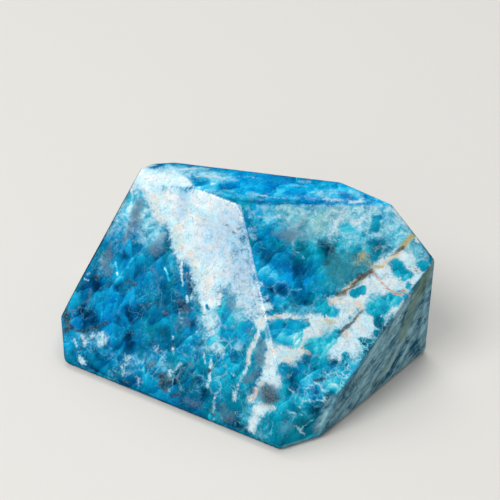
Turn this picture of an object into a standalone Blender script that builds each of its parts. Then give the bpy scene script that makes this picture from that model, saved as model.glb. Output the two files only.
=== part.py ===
"""A polished freeform of blue apatite: one stone, sawn into flat faces and softened along every arris.

The stone is modelled the way it was made. A rough block is cut by one plane for each polished face,
and each corner that the cuts leave is then worn round. Metres, +Z up, origin at the middle of the
stone's footprint on the surface that it stands on.
"""

import math

import bmesh
import bpy
from mathutils import Matrix, Vector

MM = 0.001

# The block that the stone is sawn from, big enough to hold all of it.
ROUGH_BLOCK = 120 * MM

# The sawn faces. Each one has the direction that it looks in, in degrees: the azimuth, where 0 is the
# front (-Y) and 90 the right (+X), and the tilt, where 0 looks up, 90 is an upright wall and 180 looks
# down. The last number is how far the face lies from the middle of the cuts, in millimetres.
FACES = {
    "rest": (0, 180, 0.0),
    "front_left": (-30.6, 50.9, 18.2),
    "front_right": (7.2, 40.3, 22.1),
    "right_wall": (48.8, 91.5, 27.6),
    "top": (109.1, 3.0, 31.3),
    "top_left": (-56.1, 20.1, 30.8),
    "left_slope": (-101.9, 63.4, 34.1),
    "left_wall": (-85.9, 94.2, 34.6),
    "back_left": (-140.4, 66.8, 35.8),
    "back": (170.0, 74.1, 23.8),
    "back_right": (136.0, 88.4, 23.7),
    "nose": (24.3, 77.0, 29.0),
}

# How far the polishing wheel has worn a corner round: this much, unless the corner touches all the faces
# named in one of the lines below it.
CORNER_RADIUS = 1.1 * MM
OTHER_RADII = {
    ("front_left", "front_right", "top"): 0.5 * MM,
    ("front_right", "back_right", "top"): 0.7 * MM,
    ("front_right", "nose", "right_wall"): 0.8 * MM,
    ("front_left", "front_right", "nose"): 0.8 * MM,
    ("front_left", "top", "top_left"): 0.9 * MM,
    ("back", "back_right", "top"): 2.5 * MM,
    ("back", "back_left", "top_left"): 2.9 * MM,
    ("back", "top", "top_left"): 3.2 * MM,
}

# Steps across each worn corner, from one face to the next.
CORNER_STEPS = 7

APATITE_BLUE = (0.01, 0.21, 0.42, 1.0)
POLISH_ROUGHNESS = 0.16
APATITE_IOR = 1.63


def clear_scene():
    for old in list(bpy.data.objects):
        bpy.data.objects.remove(old)


def face_normal(azimuth, tilt):
    """The unit vector that a face looks along."""
    turn, lean = math.radians(azimuth), math.radians(tilt)
    level = Vector((math.sin(turn), -math.cos(turn), 0)) * math.sin(lean)
    return level + Vector((0, 0, math.cos(lean)))


def sawn_block():
    """The rough block after every cut, sharp-edged. Each cut keeps its face's name in a face layer."""
    stone = bmesh.new()
    bmesh.ops.create_cube(stone, size=ROUGH_BLOCK)
    cut_number = stone.faces.layers.int.new("cut")
    for number, (azimuth, tilt, reach) in enumerate(FACES.values(), start=1):
        normal = face_normal(azimuth, tilt)
        everything = stone.verts[:] + stone.edges[:] + stone.faces[:]
        cut = bmesh.ops.bisect_plane(
            stone, geom=everything, plane_co=normal * reach * MM, plane_no=normal, clear_outer=True
        )
        rim = [item for item in cut["geom_cut"] if isinstance(item, bmesh.types.BMEdge)]
        filled = bmesh.ops.contextual_create(stone, geom=rim)
        for face in filled["faces"]:
            face[cut_number] = number
    return stone


def corner_radius(corner, cut_number):
    """How far this corner is worn round."""
    names = list(FACES)
    touching = {names[face[cut_number] - 1] for face in corner.link_faces}
    for faces, radius in OTHER_RADII.items():
        if touching.issuperset(faces):
            return radius
    return CORNER_RADIUS


def worn_corner(corner, radius):
    """Points on the ball that touches the corner's three faces from inside, between the touching points."""
    normals = [face.normal.copy() for face in corner.link_faces]
    centre = corner.co - Matrix(normals).inverted() @ Vector((radius, radius, radius))
    points = []
    for first in range(CORNER_STEPS + 1):
        for second in range(CORNER_STEPS + 1 - first):
            third = CORNER_STEPS - first - second
            outward = first * normals[0] + second * normals[1] + third * normals[2]
            points.append(centre + outward.normalized() * radius)
    return points


def worn_stone():
    """The stone's closed surface: the hull over all its worn corners, with each polished face left flat."""
    sawn = sawn_block()
    sawn.normal_update()
    cut_number = sawn.faces.layers.int["cut"]
    stone = bmesh.new()
    for corner in sawn.verts:
        for point in worn_corner(corner, corner_radius(corner, cut_number)):
            stone.verts.new(point)
    sawn.free()
    hull = bmesh.ops.convex_hull(stone, input=stone.verts[:])
    buried = set(hull["geom_interior"] + hull["geom_unused"])
    buried_points = [item for item in buried if isinstance(item, bmesh.types.BMVert)]
    bmesh.ops.delete(stone, geom=buried_points, context="VERTS")
    bmesh.ops.recalc_face_normals(stone, faces=stone.faces[:])
    return stone


def stand_on_origin(stone):
    """Moves the stone so that the origin is at the middle of its footprint, at the height that it rests."""
    places = [v.co for v in stone.verts]
    low = Vector([min(place[axis] for place in places) for axis in range(3)])
    high = Vector([max(place[axis] for place in places) for axis in range(3)])
    middle = (low + high) / 2
    bmesh.ops.translate(stone, verts=stone.verts[:], vec=(-middle.x, -middle.y, -low.z))


def apatite_material():
    material = bpy.data.materials.new("blue_apatite")
    material.use_nodes = True
    shader = material.node_tree.nodes["Principled BSDF"]
    shader.inputs["Base Color"].default_value = APATITE_BLUE
    shader.inputs["Roughness"].default_value = POLISH_ROUGHNESS
    shader.inputs["Metallic"].default_value = 0.0
    shader.inputs["IOR"].default_value = APATITE_IOR
    return material


def build():
    clear_scene()
    collection = bpy.data.collections.new("blue_apatite_freeform")
    bpy.context.scene.collection.children.link(collection)
    surface = worn_stone()
    stand_on_origin(surface)
    mesh = bpy.data.meshes.new("apatite")
    surface.to_mesh(mesh)
    surface.free()
    mesh.shade_smooth()
    mesh.set_sharp_from_angle(angle=math.radians(25))
    mesh.materials.append(apatite_material())
    collection.objects.link(bpy.data.objects.new("apatite", mesh))


build()
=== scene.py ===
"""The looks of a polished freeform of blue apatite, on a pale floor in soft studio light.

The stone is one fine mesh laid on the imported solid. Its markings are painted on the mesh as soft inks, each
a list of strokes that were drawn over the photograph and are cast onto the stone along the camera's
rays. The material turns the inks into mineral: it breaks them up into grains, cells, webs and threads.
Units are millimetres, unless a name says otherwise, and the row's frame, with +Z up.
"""

import math

import bmesh
import bpy
import numpy as np
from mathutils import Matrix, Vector, noise
from mathutils.bvhtree import BVHTree


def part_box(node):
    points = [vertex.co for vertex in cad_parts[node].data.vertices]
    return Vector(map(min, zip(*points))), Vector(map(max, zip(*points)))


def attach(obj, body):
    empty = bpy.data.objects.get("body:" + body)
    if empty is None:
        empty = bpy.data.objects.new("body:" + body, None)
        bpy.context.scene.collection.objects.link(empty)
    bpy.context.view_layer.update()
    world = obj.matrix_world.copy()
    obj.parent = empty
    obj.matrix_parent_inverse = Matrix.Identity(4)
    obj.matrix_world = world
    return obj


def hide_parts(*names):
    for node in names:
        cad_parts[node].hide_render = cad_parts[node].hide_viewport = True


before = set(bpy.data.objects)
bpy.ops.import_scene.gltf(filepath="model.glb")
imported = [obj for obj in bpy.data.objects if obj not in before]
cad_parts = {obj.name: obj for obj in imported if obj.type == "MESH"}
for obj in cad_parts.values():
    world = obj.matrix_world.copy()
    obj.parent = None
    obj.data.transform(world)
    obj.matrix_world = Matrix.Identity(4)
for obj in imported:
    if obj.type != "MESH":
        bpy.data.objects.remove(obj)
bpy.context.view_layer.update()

MM = 0.001

# The camera stands where the photograph was taken from.
PHOTO_PIXELS = 500
FOCAL_PIXELS = 1350
SENSOR_WIDTH = 36
CAMERA_AIM = Vector((1.4, 33.0, 0.0))
CAMERA_ELEVATION = math.radians(35)
CAMERA_DISTANCE = 290.4
VIEW = Vector((0, math.cos(CAMERA_ELEVATION), -math.sin(CAMERA_ELEVATION)))
VIEW_RIGHT = Vector((1, 0, 0))
VIEW_UP = VIEW_RIGHT.cross(VIEW)
CAMERA_PLACE = CAMERA_AIM - VIEW * CAMERA_DISTANCE


def pixel_ray(x, y):
    """The direction in which the camera sees a pixel of the photograph."""
    middle = PHOTO_PIXELS / 2
    return (VIEW * FOCAL_PIXELS + VIEW_RIGHT * (x - middle) + VIEW_UP * (middle - y)).normalized()


# The mesh

BALL_STEPS = 78
EVEN_ROUNDS = 14
FINE_ROUNDS = 4
SEEN_LIMIT = -0.05
WAVE_HEIGHT = 0.05
WAVE_LENGTH = 9.0


def solid_tree(node):
    """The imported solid's surface, in millimetres, for finding points on it."""
    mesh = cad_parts[node].data
    corners = [v.co / MM for v in mesh.vertices]
    return BVHTree.FromPolygons(corners, [tuple(p.vertices) for p in mesh.polygons])


def ball_of_squares(middle, reach, tree):
    """A ball with a square grid on each of its six sides, thrown from the middle onto the solid."""
    stone = bmesh.new()
    bmesh.ops.create_cube(stone, size=2)
    bmesh.ops.subdivide_edges(stone, edges=stone.edges[:], cuts=BALL_STEPS - 1, use_grid_fill=True)
    for v in stone.verts:
        even = Vector([math.tan(value * math.pi / 4) for value in v.co]).normalized()
        aim = Vector([even[axis] * reach[axis] for axis in range(3)]).normalized()
        v.co = tree.ray_cast(middle, aim)[0]
    return stone


def relax(stone, tree, rounds):
    """Evens the mesh out: each point moves to the middle of its neighbours and back onto the solid."""
    stone.verts.index_update()
    ends = np.array([[v.index for v in edge.verts] for edge in stone.edges])
    places = np.array([v.co for v in stone.verts])
    count = np.bincount(ends.ravel(), minlength=len(places))
    for _ in range(rounds):
        total = np.zeros_like(places)
        for axis in range(3):
            near = np.bincount(ends[:, 0], places[ends[:, 1], axis], len(places))
            near += np.bincount(ends[:, 1], places[ends[:, 0], axis], len(places))
            total[:, axis] = near
        places = (places + total / count[:, None]) / 2
        places = np.array([tree.find_nearest(Vector(place))[0] for place in places])
    for v, place in zip(stone.verts, places):
        v.co = place


def facing_camera(face):
    away = (face.calc_center_median() - CAMERA_PLACE).normalized()
    return -face.normal.dot(away)


def stone_mesh(tree):
    low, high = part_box("apatite")
    reach = (high - low) / 2 / MM
    middle = (high + low) / 2 / MM
    stone = ball_of_squares(middle, reach, tree)
    relax(stone, tree, EVEN_ROUNDS)
    bmesh.ops.recalc_face_normals(stone, faces=stone.faces[:])
    seen = {edge for face in stone.faces if facing_camera(face) > SEEN_LIMIT for edge in face.edges}
    bmesh.ops.subdivide_edges(stone, edges=list(seen), cuts=1, use_grid_fill=True)
    bmesh.ops.triangulate(stone, faces=[face for face in stone.faces if len(face.verts) > 4])
    relax(stone, tree, FINE_ROUNDS)
    bmesh.ops.recalc_face_normals(stone, faces=stone.faces[:])
    return stone


def wave_surface(stone):
    """Polishing leaves the faces very slightly wavy. The waves die out at the underside.

    Returns how much the waves turn the normals.
    """
    stone.normal_update()
    before = np.array([v.normal for v in stone.verts])
    for v in stone.verts:
        height = noise.fractal(v.co / WAVE_LENGTH, 1.0, 2.0, 2)
        v.co += v.normal * min(height, 0) * WAVE_HEIGHT * min(v.co.z / 3, 1)
    stone.normal_update()
    return np.array([v.normal for v in stone.verts]) - before


# Painting


def smooth(value, low, high):
    """0 below low, 1 above high, and a smooth rise between them."""
    share = np.clip((value - low) / (high - low), 0, 1)
    return share * share * (3 - 2 * share)


def warped(places):
    """The places moved about a little at random, so that strokes get the ragged edges of minerals."""
    moved = []
    for place in places:
        wide = noise.turbulence_vector(place / 3.0, 2, False)
        fine = noise.turbulence_vector(place / 0.9 + Vector((7, 3, 1)), 2, False)
        moved.append(Vector(place) + wide * 0.35 + fine * 0.22)
    return np.array(moved)


# A stroke stops at an arris, because another polished face counts as this many millimetres further away. The
# faces that look to the front share one direction up to a height of 17 mm, and from 22 mm on have their own.
TURN_WEIGHT = 7.0
SMALLEST_FACE = 12.0
LEAST_FACING = 0.2
SHARED_HEIGHT = 17.0
PARTED_HEIGHT = 22.0

# How far an arris reaches into the faces beside it, in millimetres, and how much the normals of the fine
# mesh may differ from it: up to the first cosine nothing of it is used, from the second one on all of it.
ARRIS = 0.09
ARRIS_COSINES = (0.88, 0.95)


def flat_faces(node):
    """The flat faces: for each one the direction that it looks in, and its distance from the origin."""
    areas = {}
    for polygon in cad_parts[node].data.polygons:
        direction = tuple(round(value, 2) for value in polygon.normal)
        reach = polygon.normal.dot(polygon.center) / MM
        areas.setdefault(direction, []).append((polygon.area / MM**2, polygon.normal.copy(), reach))
    faces = []
    for parts in areas.values():
        if sum(part[0] for part in parts) > SMALLEST_FACE:
            normal, reach = max(parts, key=lambda part: part[0])[1:]
            faces.append((*normal, reach))
    return np.array(faces)


def face_shares(places, faces):
    """How much each place belongs to each face: 1 in the open, shared between neighbours at an arris."""
    depths = (places @ faces[:, :3].T - faces[:, 3]) / ARRIS
    shares = np.exp(depths - depths.max(axis=1, keepdims=True))
    return shares / shares.sum(axis=1, keepdims=True)


def face_turns(places, faces):
    """For each place the direction of the painted face that it lies on, times TURN_WEIGHT."""
    front = (faces[:, 1] < -0.5) & (faces[:, 2] > 0.1)
    shared = np.where(front[:, None], faces[front, :3].mean(axis=0), faces[:, :3])
    shares = face_shares(places, faces)
    parted = smooth(places[:, 2], SHARED_HEIGHT, PARTED_HEIGHT)[:, None]
    return (shares @ faces[:, :3] * parted + shares @ shared * (1 - parted)) * TURN_WEIGHT


def even_normals(mesh, waves, faces):
    """Normals that are the same all along an arris. The polishing waves are added to them."""
    places = np.array([v.co / MM for v in mesh.vertices])
    own = np.array([v.normal for v in mesh.vertices])
    even = face_shares(places, faces) @ faces[:, :3]
    even /= np.linalg.norm(even, axis=1, keepdims=True)
    share = smooth((even * (own - waves)).sum(axis=1, keepdims=True), *ARRIS_COSINES)
    even = own + (even + waves - own) * share
    return even / np.linalg.norm(even, axis=1, keepdims=True)


def cast(tree, faces, x, y):
    """The point of the stone that a pixel shows, and its painted face, as six numbers.

    A pixel beside the stone gives the nearest point of it.
    """
    ray = pixel_ray(x, y)
    hit = tree.ray_cast(CAMERA_PLACE, ray)[0]
    if hit is None:
        middle = Vector((0, 0, 12))
        hit = tree.find_nearest(CAMERA_PLACE + ray * (middle - CAMERA_PLACE).dot(ray))[0]
    return np.hstack([hit, face_turns(np.array([hit]), faces)[0]])


def line_distance(places, line):
    """How far each place is from a line of points, or from a single point."""
    nearest = np.linalg.norm(places - line[0], axis=1)
    for start, end in zip(line, line[1:]):
        along = end - start
        share = np.clip((places - start) @ along / max(along @ along, 1e-9), 0, 1)
        away = np.linalg.norm(places - start - share[:, None] * along, axis=1)
        nearest = np.minimum(nearest, away)
    return nearest


PIXEL = CAMERA_DISTANCE / FOCAL_PIXELS

# The direction that the upright right wall looks in.
WALL_NORMAL = (0.753, -0.657, -0.019)


def stroke_shares(places, aim, strokes, softness):
    """For each stroke its strength, and how much of it each place gets, from 0 to 1."""
    for half_width, strength, *pixels in strokes:
        line = [cast(*aim, x, y) for x, y in pixels]
        share = line_distance(places, line) / (half_width * PIXEL)
        yield strength, 1 - smooth(share, 1 - softness, 1 + softness)


def ink(places, aim, strokes, softness):
    """How much ink a layer's strokes leave at each place, from 0 to 1. They cover, and don't add up.

    A stroke of negative strength takes away ink that lies there already.
    """
    total = np.zeros(len(places))
    for strength, share in stroke_shares(places, aim, strokes, softness):
        if strength > 0:
            total += (1 - total) * strength * share
        else:
            total *= 1 + strength * share
    return total


def tint(places, aim, strokes, softness):
    """The sum of signed strokes: above 0 lighter, below 0 darker."""
    total = np.zeros(len(places))
    for strength, share in stroke_shares(places, aim, strokes, softness):
        total += strength * share
    return total


# The markings that the photograph shows. A stroke is its half-width in pixels, its strength, and its
# points in pixels.

TONE = [
    # Left face, top and upper left
    (4, 0.34, (134, 181), (127, 194), (120, 206)),
    (3, 0.22, (131, 198), (130, 206)),
    (1.3, 0.50, (116, 217)),
    (4, 0.12, (125, 214), (123, 220)),
    (4, 0.12, (116, 233), (121, 232)),
    (6, 0.05, (136, 243)),
    (5, 0.10, (133, 250)),
    (3, -0.22, (124, 255), (126, 257)),
    (1.2, 0.30, (136, 253), (131, 260), (128, 266)),
    (6, 0.10, (150, 233), (145, 240)),
    # Left face, lower left
    (5, 0.18, (117, 262), (118, 278)),
    (1.1, 0.35, (116, 262), (117, 275)),
    (5, -0.10, (142, 270)),
    (4, -0.30, (94, 281), (99, 287)),
    (7, 0.18, (75, 300), (70, 306)),
    (5, -0.08, (81, 292)),
    (3, -0.30, (116, 287)),
    (3, -0.25, (121, 283)),
    (7, -0.38, (85, 314), (92, 318), (87, 321)),
    (6, 0.12, (103, 315)),
    (1.1, 0.45, (118, 293), (116, 300)),
    (4, -0.30, (127, 308), (128, 315)),
    (1.5, 0.15, (124, 318), (129, 326)),
    (6, -0.28, (140, 310)),
    (4, -0.20, (148, 305)),
    (4, -0.20, (117, 320)),
    (3, -0.20, (131, 321)),
    (5, -0.35, (127, 338), (128, 345)),
    (3, -0.20, (134, 343)),
    (4, -0.25, (107, 345)),
    (4, 0.15, (66, 343), (68, 347)),
    (3, -0.20, (73, 354)),
    (3, 0.12, (123, 338), (122, 347)),
    (2.5, 0.30, (117, 352)),
    (3, -0.20, (97, 351), (97, 356)),
    (4, -0.20, (111, 369)),
    (3, -0.30, (115, 375)),
    (4, -0.10, (104, 363)),
    (4, 0.10, (97, 342)),
    (10, 0.12, (145, 362), (155, 362)),
    (6, 0.10, (135, 362), (138, 372)),
    (2.5, -0.30, (147, 366)),
    (4, -0.22, (153, 367), (154, 373)),
    # Left face, middle
    (5, 0.12, (170, 262), (172, 268)),
    (1.3, 0.40, (165, 268), (169, 279)),
    (4, -0.12, (163, 284)),
    (4, -0.08, (187, 275), (190, 285), (190, 290)),
    (5, 0.12, (183, 294)),
    (3, -0.18, (178, 300), (183, 304)),
    (3, -0.22, (184, 307), (188, 309)),
    (5, -0.10, (190, 300)),
    (4, -0.15, (165, 300)),
    (3, -0.25, (167, 314)),
    (5, -0.12, (183, 313)),
    (3, -0.20, (190, 323)),
    (4, 0.12, (167, 321)),
    (4, 0.10, (171, 327)),
    (5, -0.20, (163, 333)),
    (5, 0.15, (187, 333), (195, 335)),
    (8, -0.05, (185, 345)),
    (5, -0.12, (190, 352)),
    (2.5, 0.05, (208, 308)),
    (1.5, -0.30, (209, 316)),
    (1.5, -0.30, (216, 312)),
    (3, 0.12, (209, 342), (214, 339)),
    (6, 0.08, (224, 312), (229, 320)),
    (4.5, 0.12, (214, 385)),
    (5, 0.05, (220, 370)),
    (5, -0.05, (236, 370)),
    (7, -0.25, (232, 425), (240, 428)),
    (4, 0.10, (243, 418), (246, 425)),
    (4, -0.20, (206, 393)),
    (3, -0.30, (199, 381)),
    (9, -0.05, (183, 378)),
    (4, -0.12, (170, 361)),
    (5, 0.10, (237, 405)),
    # Right face, glassy blue
    (5, 0.05, (248, 210), (255, 211)),
    (4, 0.12, (268, 221), (272, 221)),
    (4, 0.15, (262, 233), (268, 238)),
    (13, -0.10, (268, 248), (284, 258)),
    (5, -0.14, (262, 246), (267, 258)),
    (7, -0.15, (280, 262), (284, 263)),
    (4, 0.10, (253, 255), (258, 264), (265, 268)),
    (5, -0.22, (297, 263), (298, 270)),
    (5, -0.15, (300, 244), (302, 249)),
    (3, -0.10, (310, 253)),
    (4, 0.08, (310, 240), (313, 250)),
    (7, 0.1, (262, 270), (268, 274)),
    (6, 0.04, (280, 276), (288, 277)),
    (6, 0.08, (262, 293), (275, 297)),
    (4, -0.12, (257, 277)),
    (4, -0.20, (270, 282)),
    (2.5, -0.40, (271, 289)),
    (5.5, -0.40, (282, 290)),
    (3, -0.25, (294, 293)),
    (2.5, -0.25, (276, 309)),
    (2.5, -0.25, (285, 307)),
    (3, -0.22, (307, 303)),
    (5, -0.08, (300, 283)),
    (8, -0.03, (312, 283)),
    (5, 0.08, (322, 270), (325, 290)),
    (4, -0.30, (322, 243), (327, 249)),
    (3.5, -0.30, (333, 248), (336, 255)),
    (2, -0.25, (342, 252)),
    (3, -0.22, (328, 263)),
    # Right face, upper right
    (3, 0.10, (376, 218)),
    (4, 0.05, (375, 226)),
    (3, -0.12, (381, 235)),
    (4, -0.15, (372, 242), (380, 248)),
    (4, -0.15, (372, 255)),
    (5, 0.10, (363, 233)),
    (10, 0.15, (352, 238), (345, 245)),
    (12, 0.15, (395, 225), (400, 235)),
    # Right face, pools in the white band
    (8, 0.12, (398, 266), (405, 275)),
    (4.5, 0.12, (354, 293), (360, 290)),
    (7, 0.12, (378, 308), (390, 302)),
    (5, 0.15, (423, 264), (428, 267)),
    (4, 0.12, (408, 287), (413, 289)),
    (7, 0.12, (325, 307), (331, 313)),
    (5, -0.18, (382, 322), (386, 330)),
    (8, 0.10, (282, 330), (290, 335)),
    (5, 0.12, (298, 325), (305, 323)),
    (4, 0.12, (296, 338)),
    (2.5, -0.20, (284, 326)),
    (6, 0.10, (316, 345), (317, 350)),
    (5, 0.05, (328, 342), (333, 338)),
    (4, -0.30, (333, 361)),
    (3, -0.12, (346, 366)),
    # Right face, lower cells
    (6, 0.05, (310, 365)),
    (5, -0.15, (292, 374)),
    (5, -0.15, (295, 384)),
    (3, -0.25, (298, 391)),
    (4, -0.12, (305, 362)),
    (2, -0.30, (315, 386), (318, 392)),
    (2, -0.25, (323, 374)),
    (5, 0.10, (331, 381), (336, 386)),
    (6, 0.08, (303, 374), (306, 384)),
    (5, -0.25, (313, 410)),
    (6, -0.15, (300, 422)),
    (4, -0.20, (330, 396)),
    (4, -0.10, (296, 410)),
    (4, -0.15, (305, 430)),
    (9, 0.08, (285, 400), (290, 408)),
    (5, 0.12, (295, 437)),
    (3, -0.12, (267, 419)),
    # Right wall
    (4, 0.25, (402, 312), (396, 330), (384, 345)),
    (3, 0.45, (385, 375), (400, 345), (410, 330)),
    (2, 0.35, (394, 372), (410, 345)),
    (6, -0.30, (398, 362), (404, 368)),
    (6, -0.35, (414, 346), (418, 354)),
    (2.5, -0.40, (405, 310), (402, 325)),
    (3, 0.30, (427, 290), (421, 335)),
    (2.5, -0.35, (425, 275), (423, 300)),
    (3, 0.25, (372, 368), (362, 385), (352, 400)),
    (2, 0.35, (342, 388), (326, 410), (322, 425)),
    (2, 0.30, (347, 393), (336, 430)),
    (5, -0.30, (352, 405), (345, 420)),
    # Top
    (4, -0.30, (343, 194), (350, 198)),
    (3, -0.25, (365, 197)),
    (3, -0.30, (372, 201)),
    (2, -0.20, (365, 203)),
    (5, -0.14, (270, 184), (277, 187)),
    (6, -0.16, (222, 186), (232, 186)),
    (2, -0.15, (193, 178), (196, 179)),
    (2, -0.15, (188, 183), (193, 185)),
    (3, -0.10, (203, 183), (207, 183)),
    (3, -0.15, (245, 180)),
    (4, -0.15, (245, 190), (255, 191)),
    (2.5, -0.12, (248, 201), (262, 202)),
    (2, -0.25, (172, 174)),
    (2, -0.20, (166, 177)),
    (2, -0.15, (320, 188), (324, 187)),
    (2, -0.20, (305, 194)),
    (2, -0.20, (312, 199)),
    (2, -0.20, (323, 202)),
    (4, 0.12, (225, 196), (240, 196)),
    (4, 0.10, (215, 182), (222, 180)),
    (3, 0.10, (290, 197), (300, 199)),
]

# White mineral, with a few painted highlights where arrises catch the light.
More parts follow.
